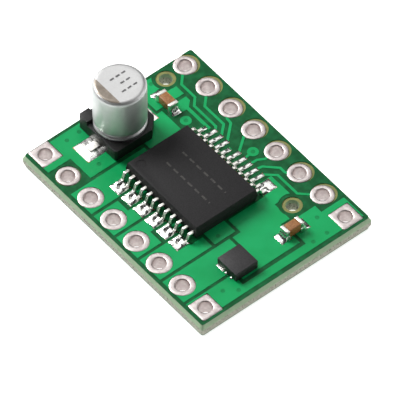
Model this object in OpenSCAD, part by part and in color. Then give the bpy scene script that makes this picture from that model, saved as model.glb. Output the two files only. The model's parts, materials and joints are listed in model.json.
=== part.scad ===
// Dual H-bridge stepper driver carrier: a small two-layer circuit board that carries
// a 24-lead driver chip, a can capacitor, two ceramic capacitors and a protection transistor.
// Origin: centre of the board outline, on the plane the board stands on. +Z up.
// +X runs along the long side, +Y towards the row of logic holes. Units: millimetres.

/* [Board] */
// length of the board's faces along X
board_l = 19.8; // [19.8:0.1:20.2]
// width of the board's faces along Y
board_w = 15.15; // [15.1:0.05:15.5]
// thickness of the glass-epoxy core
core_t = 1.1; // [1.0:0.1:1.4]
// radius of the board corners
corner_r = 0.2; // [0.1:0.05:0.5]
// how far the snapped web stands out beyond the faces
score_out = 0.15; // [0.05:0.05:0.2]
// diameter of the plated header holes
hole_d = 1.02; // [0.9:0.02:1.1]
// width of the square ground pads
square_pad = 1.8; // [1.7:0.02:1.8]
// diameter of the isolated round pads
round_pad = 1.76; // [1.6:0.02:1.8]
// diameter of the round pads that stand in a copper pour
pour_pad = 1.92; // [1.8:0.02:1.98]
// diameter of the two unplated tooling holes
tool_d = 1.0; // [0.8:0.05:1.1]

/* [Driver chip] */
// length of the moulded body along X
chip_l = 7.8; // [7.6:0.1:7.9]
// width of the moulded body along Y
chip_w = 5.6; // [5.5:0.05:5.7]
// thickness of the moulded body
chip_t = 1.15; // [1.1:0.05:1.5]
// width of one lead
lead_w = 0.24; // [0.18:0.02:0.28]

/* [Can capacitor] */
// diameter of the aluminium can
can_d = 3.9; // [3.7:0.05:4.0]
// height of the capacitor above the board
can_h = 5.1; // [4.8:0.1:6.0]
// side of the square plastic base
base_w = 4.2; // [4.2:0.05:4.4]

/* [Small parts] */
// length of a ceramic capacitor
mlcc_l = 1.6; // [1.5:0.05:1.7]
// width and height of a ceramic capacitor
mlcc_w = 0.8; // [0.7:0.05:0.85]
// side of the square transistor body
fet_w = 2.0; // [1.9:0.05:2.05]
// height of the transistor body
fet_t = 0.75; // [0.6:0.05:0.9]

/* [Hidden] */
$fn = 48;
cut = 0.1;              // how far a cutter runs past a face
pitch = 2.54;           // hole spacing along a row
row_gap = 12.7;         // distance between the two rows
pins = 8;               // holes in a row
grid = [-0.095, -0.045]; // hole pattern centre, measured from the outline's centre
plate_t = 0.05;         // plating on the hole walls
cu_t = 0.05;            // copper foil with its plating
fill_t = 0.055;         // mask over bare core
mask_t = 0.03;          // mask over copper
via_dip = 0.012;        // how far the mask sinks over a via
rim_t = 0.1;            // header pad above the core
core_z = rim_t;
score_t = core_t / 4;   // depth of the score line cut into each face
top_z = core_z + core_t;
cu_z = top_z + cu_t;
face_z = cu_z + mask_t;
ring_r = 1.12;          // clear radius around an isolated header hole
tool_a = [-8.83, 4.53];
tool_b = [5.71, 4.14];
tool_clear = 1.02;      // clear radius around a tooling hole
tool_open = 0.74;       // mask opening around a tooling hole
via_r = 0.12;
via_wall = 0.08;
via_out = via_r + via_wall;
track_w = 0.2;
ring_via_a = [-4.95, 3.2];
ring_via_b = [0.25, 5.05];
ring_via_r = 0.42;
// stitching vias of the ground pours, left side and right side
vias_left = [[-9.1, 3.4], [-8.95, -3.25], [-8.9, -4.4], [-5.8, -4.0]];
vias_right = [[7.7, 4.75], [9.2, 4.4], [9.2, 3.15], [9.2, -3.6], [8.55, -4.5], [4.55, -1.65]];
vias_all = concat(vias_left, vias_right, [ring_via_a, ring_via_b]);

solder_t = 0.04;        // solder under a terminal
seat_z = cu_z + solder_t;

chip_c = [0, -0.3];
leads = 12;             // leads on each side
lead_pitch = 0.65;
lead_t = 0.15;
lead_tip = 3.85;        // lead tip, from the chip's centre line
foot_l = 0.55;
pad_tip = 4.35;         // end of the logic side pads
chip_gap = 0.08;        // air under the moulded body
chip_z = seat_z + chip_gap;
chip_mid = chip_z + 0.5 * chip_t;
draft = 0.1;            // how far the body's ends draw in above and below the parting line
lead_in = 1.7;          // inner end of a lead, from the chip's centre line
paddle = [3.6, 2.4, 0.15];
die = [2.6, 1.7, 0.25];
glue_t = 0.03;
wire_d = 0.05;
out_pads = [-3.25, -1.95, -0.65, 0.65, 1.95, 3.25]; // six shared output pads
out_pad_w = 1.15;

cap_c = [-7.3, -0.85];
base_t = 0.6;
cup_t = 0.98;           // height of the wall round the can's foot
post_t = 1.3;           // height of the two tall corners
post_w = 0.95;
base_cut = 0.9;         // corner chamfer on the positive side
foot_cut = 0.15;        // corner chamfer on the negative side
can_slack = 0.02;
term_t = 0.1;
term_w = 0.65;
minus_reach = 2.95;     // end of the minus terminal, from the capacitor's centre
plus_reach = 2.65;      // end of the plus terminal, from the capacitor's centre
base_z = seat_z;
can_z = base_z + base_t;
can_top = face_z + can_h;
can_r = can_d / 2;
wall = 0.15;
edge_r = 0.3;           // rounding of the can's top edge
groove_z = can_z + 0.75;
groove_r = 0.18;
seal_t = 1.4;
roll_h = can_top - wall - can_z - seal_t - 0.3;
mark_t = 0.02;
mark_y = -1.05;         // chord of the printed segment

mlcc_a = [-6.9, 3.1];
mlcc_b = [7.55, 2.6];
end_t = 0.03;           // thickness of an end cap's metal
end_l = 0.32;           // how far an end cap wraps along the body
plates = 6;
plate_gap = 0.1;
foil = 0.02;

fet_c = [7.5, -2.3];
land_t = 0.1;
land_w = 0.3;

// ---- flat shapes shared by the copper, the mask and the pads ----
module slab(a, b) {
  translate(a)
    square([b.x - a.x, b.y - a.y]);
}

module disc(c, r) {
  translate(c)
    circle(r = r);
}

module segment(a, b, w) {
  d = b - a;
  translate(a)
    rotate(atan2(d.y, d.x))
      translate([0, -w / 2])
        square([norm(d), w]);
}

module track(pts) {
  for (i = [0 : len(pts) - 2])
    segment(pts[i], pts[i + 1], track_w);
  for (i = [1 : len(pts) - 2])
    disc(pts[i], track_w / 2);
}

module layer(z, t) {
  translate([grid.x, grid.y, z])
    linear_extrude(height = t)
      children();
}

function pin_x(k) = (k - (pins - 1) / 2) * pitch;
function lead_x(i) = (i - (leads - 1) / 2) * lead_pitch;

module outline(grow = 0) {
  hx = board_l / 2 + grow - corner_r;
  hy = board_w / 2 + grow - corner_r;
  square([2 * (hx + corner_r), 2 * hy], center = true);
  square([2 * hx, 2 * (hy + corner_r)], center = true);
  for (x = [-hx, hx], y = [-hy, hy])
    disc([x, y], corner_r);
}

module logic_pads(r) {
  for (k = [0 : pins - 2])
    disc([pin_x(k), row_gap / 2], r);
}

module power_pads(r, r_pour) {
  disc([pin_x(1), -row_gap / 2], r);
  for (k = [2 : pins - 2])
    disc([pin_x(k), -row_gap / 2], r_pour);
}

module ground_pads(w) {
  for (c = [[pin_x(0), -row_gap / 2], [pin_x(pins - 1), -row_gap / 2],
            [pin_x(pins - 1), row_gap / 2]])
    translate(c)
      square(w, center = true);
}

module pads() {
  logic_pads(round_pad / 2);
  power_pads(round_pad / 2, pour_pad / 2);
  ground_pads(square_pad);
}

module header_discs(r) {
  for (k = [0 : pins - 1], s = [-1, 1])
    disc([pin_x(k), s * row_gap / 2], r);
}

module via_discs(r) {
  for (v = vias_all)
    disc(v, r);
}

module tool_discs(r) {
  disc(tool_a, r);
  disc(tool_b, r);
}

// ---- the copper islands of the top side ----
module island_ground_left() {
  difference() {
    union() {
      slab([-9.55, -5.25], [-5.2, -0.6]);
      slab([-9.55, -7.25], [-7.45, -5.2]);
      slab([-9.55, -0.7], [-8.4, 4.0]);
      slab([-9.55, 2.15], [-6.95, 3.3]);
      slab([-7.85, 3.2], [-6.95, 4.65]);
    }
    disc(tool_a, tool_clear);
    disc([pin_x(1), -row_gap / 2], ring_r);
  }
}

module island_ground_right() {
  slab([6.8, 2.65], [9.65, 5.3]);
  slab([7.5, 5.2], [9.65, 7.35]);
  slab([9.0, -3.2], [9.65, 2.7]);
  slab([7.85, -7.25], [9.65, -3.05]);
}

module island_ground_chip() {
  slab([-3.5, -2.4], [3.5, 1.9]);
  slab([3.4, -2.3], [5.0, -0.45]);
  for (x = [out_pads[1], out_pads[4]]) {
    slab([x - 0.25, -3.7], [x + 0.25, -2.3]);
    slab([x - out_pad_w / 2, -4.75], [x + out_pad_w / 2, -3.6]);
  }
}

module island_supply_right() {
  difference() {
    union() {
      slab([3.9, -0.2], [8.65, 2.4]);
      slab([3.9, 2.3], [6.55, 3.2]);
      slab([2.75, 3.05], [4.9, 4.65]);
      slab([5.3, -0.95], [8.65, -0.1]);
      slab([6.7, -1.6], [8.65, -0.9]);
      slab([8.3, -2.75], [8.65, -1.5]);
    }
    disc(tool_b, tool_clear);
  }
}

module island_supply_left() {
  slab([-8.2, 0.3], [-4.0, 1.95]);
  slab([-6.7, -0.35], [-4.0, 2.45]);
}

module island_supply_in() {
  slab([5.25, -7.25], [7.6, -2.7]);
  slab([5.25, -2.8], [8.05, -1.85]);
  slab([5.25, -1.9], [6.45, -1.2]);
}

module island_logic_supply() {
  polygon([[-6.65, 2.75], [-5.7, 2.75], [-5.7, 4.05], [-6.2, 4.6], [-6.65, 4.6]]);
  slab([-5.8, 3.88], [-3.3, 4.15]);
  slab([-3.78, 3.05], [-3.38, 4.0]);
}

module island_output_a1() {
  slab([-4.93, -7.25], [-2.62, -4.6]);
  slab([-4.93, -4.7], [-3.8, -0.6]);
  slab([-3.9, -4.75], [-2.68, -3.6]);
}

module island_output_a2() {
  slab([-2.38, -7.25], [-0.12, -5.07]);
  slab([-1.23, -5.2], [-0.12, -3.6]);
}

module island_output_b2() {
  slab([0.12, -7.25], [2.48, -5.07]);
  slab([0.12, -5.2], [1.23, -3.6]);
}

module island_output_b1() {
  slab([2.72, -7.25], [5.0, -4.6]);
  slab([2.68, -4.75], [5.0, -3.6]);
  slab([3.95, -3.7], [5.0, -2.55]);
}

module lead_pad(i, reach) {
  slab([lead_x(i) - 0.17, 3.05], [lead_x(i) + 0.17, reach]);
}

module island_signals() {
  y_hi = 5.05;
  y_lo = 4.5;
  y_pad = pad_tip - 0.1;
  difference() {
    union() {
      for (i = [1 : leads - 3])
        lead_pad(i, i == 4 ? 4.05 : pad_tip);
      track([[pin_x(0), 6.2], [-7.7, y_hi], [-6.2, y_hi], [-5.6, y_lo], [-3.2, y_lo],
             [lead_x(1), y_pad]]);
      track([[pin_x(1), 6.3], [-5.1, y_hi], [-3.0, y_hi], [lead_x(2), y_pad]]);
      track([[pin_x(2), 5.9], [-3.2, 5.55], [-2.75, 5.5], [lead_x(3), y_pad]]);
      track([[pin_x(3), 5.6], [-1.2, 5.4], [lead_x(5), y_pad]]);
      track([ring_via_b, [lead_x(6), y_pad]]);
      track([[pin_x(4), 5.6], [1.3, 5.3], [1.0, 4.8], [lead_x(7), y_pad]]);
      track([[pin_x(5), 5.9], [3.1, 5.6], [2.6, 5.6], [1.7, 4.7], [lead_x(8), y_pad]]);
      track([[pin_x(6), 6.1], [5.7, 5.6], [5.15, y_hi], [3.0, y_hi], [lead_x(9), y_pad]]);
      disc(ring_via_a, ring_via_r);
      disc(ring_via_b, ring_via_r);
    }
    tool_discs(tool_open);
  }
}

module islands() {
  island_ground_left();
  island_ground_right();
  island_ground_chip();
  island_supply_right();
  island_supply_left();
  island_supply_in();
  island_logic_supply();
  island_output_a1();
  island_output_a2();
  island_output_b2();
  island_output_b1();
  island_signals();
}

module top_foil() {
  color("goldenrod")
    layer(top_z, cu_t)
      difference() {
        children();
        pads();
        via_discs(via_out);
      }
}

// ---- the copper islands of the bottom side ----
module island_bottom_track() {
  track([[pin_x(1), -row_gap / 2], [pin_x(1), -4.0], [-4.95, -2.6], ring_via_a,
         [-3.1, 5.05], ring_via_b]);
  disc(ring_via_a, ring_via_r);
  disc(ring_via_b, ring_via_r);
}

// the pour between the rows, cut in two by the channel that the supply track runs in
module island_bottom_ground() {
  edge = row_gap / 2 - 1.25;
  difference() {
    union() {
      slab([-9.5, -edge], [9.75, edge]);
      slab([-9.5, -7.2], [-7.7, -edge]);
      slab([7.75, -7.2], [9.75, 7.3]);
    }
    tool_discs(tool_clear);
    slab([-9.6, 4.0], [-8.0, edge + cut]);
    polygon([[-6.75, -5.4], [-5.95, -5.4], [-5.95, -4.15], [-4.55, -2.75], [-4.55, 2.7],
             [-4.1, 3.2], [-2.9, 4.5], [0.9, 4.4], [0.9, 5.6], [-3.3, 5.6],
             [-5.35, 3.7], [-5.55, 2.7], [-5.35, -2.4], [-6.75, -3.85]]);
  }
}

module bottom_foil() {
  color("goldenrod")
    layer(core_z - cu_t, cu_t)
      difference() {
        children();
        pads();
        via_discs(via_out);
      }
}

// ---- openings in the top mask ----
module chip_pad_windows() {
  slab([-3.75, 3.1], [-3.4, 3.95]);
  for (i = [1 : leads - 3])
    lead_pad(i, i == 4 ? 4.0 : pad_tip);
  slab([2.78, 3.1], [3.82, pad_tip]);
}

module output_pad_windows() {
  for (x = out_pads)
    slab([x - 0.55, -4.72], [x + 0.55, -3.6]);
}

module can_pad_windows() {
  slab([-8.15, -4.5], [-6.35, -2.6]);
  slab([-8.15, 0.4], [-6.35, 1.9]);
}

module ceramic_left_windows() {
  slab([-8.35, 2.7], [-7.45, 3.5]);
  slab([-6.35, 2.8], [-5.72, 3.5]);
}

module ceramic_right_windows() {
  slab([7.05, 3.0], [8.05, 3.9]);
  slab([7.05, 1.3], [8.05, 2.2]);
}

module land_windows() {
  slab([6.45, -3.42], [7.25, -2.95]);
  slab([7.37, -3.42], [7.58, -2.95]);
  slab([7.95, -3.42], [8.15, -3.07]);
  for (x = [6.85, 7.5, 8.15])
    slab([x - 0.12, -1.6], [x + 0.12, -1.08]);
  slab([6.7, -2.65], [7.9, -1.95]);
}

module mask_windows() {
  shift = [0, 0.14];
  header_discs(hole_d / 2 + plate_t);
  pads();
  translate(shift)
    logic_pads(round_pad / 2 + 0.08);
  power_pads(round_pad / 2 + 0.05, pour_pad / 2);
  tool_discs(tool_open);
  chip_pad_windows();
  output_pad_windows();
  can_pad_windows();
  ceramic_left_windows();
  ceramic_right_windows();
  land_windows();
}

// ---- board nodes ----
// a cutter along one edge: it takes the sloped score line out of the upper face
module score_cut(reach, length) {
  run = score_out * cut / score_t;
  translate([reach, length / 2, top_z])
    rotate([90, 0, 0])
      linear_extrude(height = length)
        polygon([[-run, cut], [score_out, -score_t], [score_out + cut, -score_t],
                 [score_out + cut, cut]]);
}

module score_cuts() {
  length = board_l + 1;
  for (turn = [0, 180]) {
    rotate([0, 0, turn])
      score_cut(board_l / 2, length);
    rotate([0, 0, turn + 90])
      score_cut(board_w / 2, length);
  }
}

// the core: scored along both faces at every edge, with the snapped web between
module scored_core() {
  difference() {
    translate([0, 0, core_z])
      linear_extrude(height = core_t)
        outline(score_out);
    score_cuts();
    translate([0, 0, core_z + top_z])
      mirror([0, 0, 1])
        score_cuts();
  }
}

module laminate() {
  color("darkkhaki")
    difference() {
      scored_core();
      layer(core_z - cut, core_t + 2 * cut) {
        header_discs(hole_d / 2 + plate_t);
        tool_discs(tool_d / 2);
        via_discs(via_out);
      }
    }
}

module copper_ground_left() { top_foil() island_ground_left(); }

module copper_ground_right() { top_foil() island_ground_right(); }

module copper_ground_chip() { top_foil() island_ground_chip(); }

module copper_supply_right() { top_foil() island_supply_right(); }

module copper_supply_left() { top_foil() island_supply_left(); }

module copper_supply_in() { top_foil() island_supply_in(); }

module copper_logic_supply() { top_foil() island_logic_supply(); }

module copper_output_a1() { top_foil() island_output_a1(); }

module copper_output_a2() { top_foil() island_output_a2(); }

module copper_output_b2() { top_foil() island_output_b2(); }

module copper_output_b1() { top_foil() island_output_b1(); }

module copper_signal_tracks() { top_foil() island_signals(); }

module copper_bottom_ground() { bottom_foil() island_bottom_ground(); }

module copper_bottom_track() { bottom_foil() island_bottom_track(); }

module solder_mask_top() {
  color("seagreen")
    difference() {
      union() {
        translate([0, 0, top_z])
          linear_extrude(height = fill_t)
            outline();
        layer(top_z, cu_t + mask_t)
          islands();
      }
      layer(top_z - cut, cut + cu_t) {
        islands();
        via_discs(via_out);
      }
      layer(top_z - cut, 3 * cut)
        mask_windows();
      layer(face_z - via_dip, cut)
        via_discs(via_r + 0.05);
    }
}

module solder_mask_bottom() {
  color("seagreen")
    difference() {
      union() {
        translate([0, 0, core_z - fill_t])
          linear_extrude(height = fill_t)
            outline();
        layer(core_z - cu_t - mask_t, cu_t + mask_t) {
          island_bottom_ground();
          island_bottom_track();
        }
      }
      layer(core_z - cu_t, cu_t + cut) {
        island_bottom_ground();
        island_bottom_track();
        via_discs(via_out);
      }
      layer(core_z - 2 * cut, 4 * cut) {
        pads();
        tool_discs(tool_open);
      }
      layer(core_z - cu_t - mask_t - cut, cut + via_dip)
        via_discs(via_r + 0.05);
    }
}

// one plated hole: a wall through the core with a rim on each face
module plated(c, r, square_rim) {
  translate([grid.x + c.x, grid.y + c.y, 0])
    difference() {
      union() {
        for (z = [0, top_z])
          translate([0, 0, z])
            linear_extrude(height = rim_t)
              if (square_rim)
                square(2 * r, center = true);
              else
                circle(r = r);
        cylinder(r = hole_d / 2 + plate_t, h = top_z + rim_t);
      }
      translate([0, 0, -cut])
        cylinder(r = hole_d / 2, h = top_z + rim_t + 2 * cut);
    }
}

module header_holes_logic() {
  color("silver")
    for (k = [0 : pins - 2])
      plated([pin_x(k), row_gap / 2], round_pad / 2, false);
}

module header_holes_power() {
  color("silver") {
    plated([pin_x(1), -row_gap / 2], round_pad / 2, false);
    for (k = [2 : pins - 2])
      plated([pin_x(k), -row_gap / 2], pour_pad / 2, false);
  }
}

module header_holes_ground() {
  color("silver") {
    plated([pin_x(0), -row_gap / 2], square_pad / 2, true);
    plated([pin_x(pins - 1), -row_gap / 2], square_pad / 2, true);
    plated([pin_x(pins - 1), row_gap / 2], square_pad / 2, true);
  }
}

module plated_vias() {
  color("goldenrod")
    layer(core_z - cu_t, core_t + 2 * cu_t)
      difference() {
        via_discs(via_out);
        via_discs(via_r);
      }
}

// ---- driver chip ----
module at_chip(z) {
  translate([grid.x + chip_c.x, grid.y + chip_c.y, z])
    children();
}

module block(size) {
  translate([-size.x / 2, -size.y / 2, 0])
    cube(size);
}

module chip_moulding() {
  thin = 0.01;
  for (end = [0, chip_t - thin])
    hull() {
      translate([0, 0, chip_t / 2 - thin / 2])
        block([chip_l, chip_w, thin]);
      translate([0, 0, end])
        block([chip_l - 2 * draft, chip_w - 2 * draft, thin]);
    }
}

module chip_body() {
  dimple_r = 0.35;
  color("dimgray")
    difference() {
      at_chip(chip_z)
        chip_moulding();
      at_chip(chip_z + chip_t - 0.03)
        translate([-chip_l / 2 + 0.8, -chip_w / 2 + 0.8, 0])
          cylinder(r = dimple_r, h = cut);
      lead_row(1);
      lead_row(-1);
      paddle_shape();
      glue_shape();
      die_shape();
      wire_set();
    }
}

// a gull-wing lead drawn in side view: inner end, shoulder, riser and foot
module lead_profile() {
  z_in = chip_mid - lead_t / 2;
  z_foot = seat_z;
  heel = lead_tip - foot_l;
  knee = chip_w / 2 + 0.33;
  polygon([[lead_in, z_in], [knee - 0.05, z_in], [heel - 0.05, z_foot + 0.1],
           [heel + 0.05, z_foot], [lead_tip, z_foot], [lead_tip, z_foot + lead_t],
           [heel + 0.12, z_foot + lead_t], [knee + 0.12, z_in + lead_t - 0.04],
           [knee + 0.04, z_in + lead_t], [lead_in, z_in + lead_t]]);
}

module lead_row(side) {
  for (i = [0 : leads - 1])
    translate([grid.x + lead_x(i), grid.y + chip_c.y, 0])
      rotate([0, 0, side > 0 ? 0 : 180])
        rotate([90, 0, 90])
          translate([0, 0, -lead_w / 2])
            linear_extrude(height = lead_w)
              lead_profile();
}

module chip_leads_logic() {
  color("silver")
    lead_row(1);
}

module chip_leads_power() {
  color("silver")
    lead_row(-1);
}

module paddle_shape() {
  at_chip(chip_mid - lead_t / 2 - 0.2)
    block(paddle);
}

module glue_shape() {
  at_chip(chip_mid - lead_t / 2 - 0.2 + paddle.z)
    block([die.x, die.y, glue_t]);
}

module die_shape() {
  at_chip(chip_mid - lead_t / 2 - 0.2 + paddle.z + glue_t)
    block(die);
}

// a bond wire climbs from the die's edge and comes down on the inner end of its lead
module wire_set() {
  die_top = chip_mid - lead_t / 2 - 0.2 + paddle.z + glue_t + die.z;
  drop = die_top - (chip_mid + lead_t / 2);
  for (i = [0 : leads - 1], s = [-1, 1]) {
    from = [lead_x(i) * 0.32, s * (die.y / 2 - 0.1)];
    to = [lead_x(i), s * (lead_in + 0.1)];
    run = norm(to - from);
    translate([grid.x + chip_c.x + from.x, grid.y + chip_c.y + from.y, die_top])
      rotate([0, 0, atan2(to.y - from.y, to.x - from.x)])
        rotate([90, 0, 0])
          translate([0, 0, -wire_d / 2])
            linear_extrude(height = wire_d)
              polygon([[0, 0], [wire_d, 0], [wire_d, 0.07], [run - 2 * wire_d, 0.05],
                       [run - wire_d, -drop], [run, -drop], [run, 0.1], [0, 0.12]]);
  }
}

module chip_paddle() {
  color("silver")
    paddle_shape();
}

module chip_glue() {
  color("gainsboro")
    glue_shape();
}

module chip_die() {
  color("slategray")
    die_shape();
}

module chip_wires() {
  color("gold")
    wire_set();
}

// solder: a flat layer in the mask window, with a bead at the toe of the lead
module toe(x, y, side, w) {
  bead = 0.3;
  translate([grid.x + x, grid.y + y, 0])
    rotate([0, 0, side > 0 ? 0 : 180])
      rotate([90, 0, 90])
        translate([0, 0, -w / 2])
          linear_extrude(height = w)
            polygon([[0, seat_z - solder_t], [bead, seat_z - solder_t], [bead * 0.8, seat_z],
                     [bead * 0.3, seat_z + 0.04], [0, seat_z + 0.11]]);
}

module chip_solder_logic() {
  color("lightgray") {
    layer(cu_z, solder_t)
      chip_pad_windows();
    for (i = [0 : leads - 1])
      toe(lead_x(i), chip_c.y + lead_tip, 1, lead_w + 0.06);
  }
}

module chip_solder_power() {
  color("lightgray") {
    layer(cu_z, solder_t)
      output_pad_windows();
    for (i = [0 : leads - 1])
      toe(lead_x(i), chip_c.y - lead_tip, -1, lead_w + 0.06);
  }
}

// ---- can capacitor ----
module at_can(z) {
  translate([grid.x + cap_c.x, grid.y + cap_c.y, z])
    children();
}

module can_profile(r) {
  h = can_top - can_z;
  difference() {
    union() {
      square([r, h - edge_r]);
      square([r - edge_r, h]);
      translate([r - edge_r, h - edge_r])
        circle(r = edge_r);
    }
    translate([r + groove_r * 0.25, groove_z - can_z])
      circle(r = groove_r);
  }
}

module can_shell() {
  seal_r = can_r - wall;
  color("gainsboro")
    difference() {
      at_can(can_z)
        rotate_extrude()
          can_profile(can_r);
      at_can(can_z - cut)
        cylinder(r = seal_r - 0.15, h = cut + wall);
      at_can(can_z + wall)
        cylinder(r = seal_r - 0.1, h = seal_t - wall);
      at_can(can_z + seal_t)
        cylinder(r = seal_r, h = can_top - wall - can_z - seal_t);
    }
}

module can_seal() {
  seal_r = can_r - wall;
  color("#202020")
    difference() {
      union() {
        at_can(can_z)
          cylinder(r = seal_r - 0.15, h = wall);
        at_can(can_z + wall)
          cylinder(r = seal_r - 0.1, h = seal_t - wall);
      }
      terminal_post(1);
      terminal_post(-1);
    }
}

module can_winding() {
  color("tan")
    at_can(can_z + seal_t)
      cylinder(r = can_r - wall - 0.08, h = roll_h);
}

module base_outline() {
  h = base_w / 2;
  polygon([[-h + foot_cut, -h], [h - foot_cut, -h], [h, -h + foot_cut], [h, h - base_cut],
           [h - base_cut, h], [-h + base_cut, h], [-h, h - base_cut], [-h, -h + foot_cut]]);
}

module base_posts() {
  intersection() {
    base_outline();
    for (y = [-base_w / 2, base_w / 2 - post_w])
      translate([-base_w / 2, y])
        square(post_w);
  }
}

module can_base() {
  color("#1c1c1c")
    difference() {
      union() {
        at_can(base_z)
          linear_extrude(height = cup_t)
            base_outline();
        at_can(base_z + cup_t)
          linear_extrude(height = post_t - cup_t)
            base_posts();
      }
      at_can(can_z)
        cylinder(r = can_r + can_slack, h = post_t);
      terminal(1);
      terminal(-1);
    }
}

// a lead of the capacitor, from the winding down through the seal and the base
module terminal_post(side) {
  post_r = 0.22;
  at_can(seat_z + term_t / 2)
    translate([0, side * 0.75, 0])
      cylinder(r = post_r, h = can_z + seal_t - seat_z - term_t / 2);
}

module terminal(side) {
  inner = 0.45;
  terminal_post(side);
  at_can(seat_z)
    translate([-term_w / 2, side > 0 ? inner : -minus_reach, 0])
      cube([term_w, (side > 0 ? plus_reach : minus_reach) - inner, term_t]);
}

module can_terminal_minus() {
  color("silver")
    terminal(-1);
}

module can_terminal_plus() {
  color("silver")
    terminal(1);
}

module can_mark() {
  r = can_r - edge_r;
  color("dimgray")
    at_can(can_top)
      linear_extrude(height = mark_t)
        difference() {
          circle(r = r);
          translate([-r, mark_y])
            square(2 * r);
        }
}

module can_solder() {
  bead = 0.3;
  color("lightgray") {
    layer(cu_z, solder_t)
      can_pad_windows();
    at_can(0)
      translate([0, -minus_reach, 0])
        rotate([90, 0, -90])
          translate([0, 0, -term_w / 2])
            linear_extrude(height = term_w)
              polygon([[0, cu_z], [bead, cu_z], [0, seat_z + term_t * 0.8]]);
  }
}

// ---- ceramic capacitors: drawn along X about their own centre ----
module place_left() {
  translate([grid.x + mlcc_a.x, grid.y + mlcc_a.y, seat_z])
    children();
}

module place_right() {
  translate([grid.x + mlcc_b.x, grid.y + mlcc_b.y, seat_z])
    rotate([0, 0, 90])
      children();
}

module ceramic_plates() {
  reach = mlcc_l - 2 * end_t - 0.25;
  for (i = [0 : plates - 1])
    translate([(i % 2 == 0 ? -1 : 1) * 0.125, 0, end_t + 0.12 + i * plate_gap])
      block([reach, mlcc_w - 0.25, foil]);
}

module ceramic_body() {
  difference() {
    translate([0, 0, end_t])
      block([mlcc_l - 2 * end_t, mlcc_w - 2 * end_t, mlcc_w - 2 * end_t]);
    ceramic_plates();
  }
}

module ceramic_ends() {
  for (s = [-1, 1])
    difference() {
      translate([s * (mlcc_l / 2 - end_l / 2), 0, 0])
        block([end_l, mlcc_w, mlcc_w]);
      translate([0, 0, end_t])
        block([mlcc_l - 2 * end_t, mlcc_w - 2 * end_t, mlcc_w - 2 * end_t]);
    }
}

// the sloped solder at the outer face of each end cap
module ceramic_beads(bead_l, bead_r) {
  for (s = [-1, 1]) {
    run = s < 0 ? bead_l : bead_r;
    translate([s * mlcc_l / 2, 0, 0])
      rotate([0, 0, s < 0 ? 180 : 0])
        rotate([90, 0, 0])
          translate([0, 0, -mlcc_w / 2])
            linear_extrude(height = mlcc_w)
              polygon([[0, -solder_t], [run, -solder_t], [run * 0.4, 0.12], [0, mlcc_w * 0.55]]);
  }
}

module ceramic_left_body() {
  color("peru")
    place_left()
      ceramic_body();
}

module ceramic_left_plates() {
  color("gray")
    place_left()
      ceramic_plates();
}

module ceramic_left_ends() {
  color("silver")
    place_left()
      ceramic_ends();
}

module ceramic_left_solder() {
  color("lightgray") {
    layer(cu_z, solder_t)
      ceramic_left_windows();
    place_left()
      ceramic_beads(0.5, 0.35);
  }
}

module ceramic_right_body() {
  color("peru")
    place_right()
      ceramic_body();
}

module ceramic_right_plates() {
  color("gray")
    place_right()
      ceramic_plates();
}

module ceramic_right_ends() {
  color("silver")
    place_right()
      ceramic_ends();
}

module ceramic_right_solder() {
  color("lightgray") {
    layer(cu_z, solder_t)
      ceramic_right_windows();
    place_right()
      ceramic_beads(0.45, 0.45);
  }
}

// ---- protection transistor ----
module at_fet(z) {
  translate([grid.x + fet_c.x, grid.y + fet_c.y, z])
    children();
}

module fet_drain_shape() {
  at_fet(seat_z)
    translate([-0.8, -0.35, 0])
      cube([1.2, 0.7, land_t]);
  at_fet(seat_z)
    translate([-0.8, -fet_w / 2, 0])
      cube([0.55, 0.8, land_t]);
}

module fet_land_shapes() {
  at_fet(seat_z) {
    for (x = [-0.02, 0.55])
      translate([x - 0.1, -fet_w / 2, 0])
        cube([0.2, land_w, land_t]);
    for (x = [-0.65, 0, 0.65])
      translate([x - 0.12, fet_w / 2 - land_w, 0])
        cube([0.24, land_w, land_t]);
  }
}

module fet_die_shape() {
  at_fet(seat_z + land_t)
    translate([-0.7, -0.3, 0])
      cube([1.0, 0.6, 0.12]);
}

// the clip that joins the die's top face to the source lands
module fet_clip_shape() {
  at_fet(seat_z + land_t + 0.12)
    translate([-0.5, -0.2, 0])
      cube([0.7, fet_w / 2 + 0.1, 0.1]);
  at_fet(seat_z + land_t)
    translate([-0.1, fet_w / 2 - land_w + 0.05, 0])
      cube([0.2, 0.15, 0.15]);
}

module transistor_body() {
  color("#2b2b2b")
    difference() {
      at_fet(seat_z)
        block([fet_w, fet_w, fet_t]);
      fet_drain_shape();
      fet_land_shapes();
      fet_die_shape();
      fet_clip_shape();
    }
}

module transistor_drain() {
  color("silver")
    fet_drain_shape();
}

module transistor_lands() {
  color("silver")
    fet_land_shapes();
}

module transistor_die() {
  color("slategray")
    fet_die_shape();
}

module transistor_clip() {
  color("peru")
    fet_clip_shape();
}

module transistor_solder() {
  color("lightgray")
    layer(cu_z, solder_t)
      land_windows();
}

header_holes_logic();
header_holes_power();
header_holes_ground();
laminate();
copper_ground_left();
copper_ground_right();
copper_ground_chip();
copper_supply_right();
copper_supply_left();
copper_supply_in();
copper_logic_supply();
copper_output_a1();
copper_output_a2();
copper_output_b2();
copper_output_b1();
copper_signal_tracks();
copper_bottom_ground();
copper_bottom_track();
solder_mask_top();
solder_mask_bottom();
plated_vias();
chip_body();
chip_leads_logic();
chip_leads_power();
chip_paddle();
chip_glue();
chip_die();
chip_wires();
chip_solder_logic();
chip_solder_power();
can_shell();
can_seal();
can_winding();
can_base();
can_terminal_minus();
can_terminal_plus();
can_mark();
can_solder();
ceramic_left_body();
ceramic_left_plates();
ceramic_left_ends();
ceramic_left_solder();
ceramic_right_body();
ceramic_right_plates();
ceramic_right_ends();
ceramic_right_solder();
transistor_body();
transistor_drain();
transistor_lands();
transistor_die();
transistor_clip();
transistor_solder();
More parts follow.
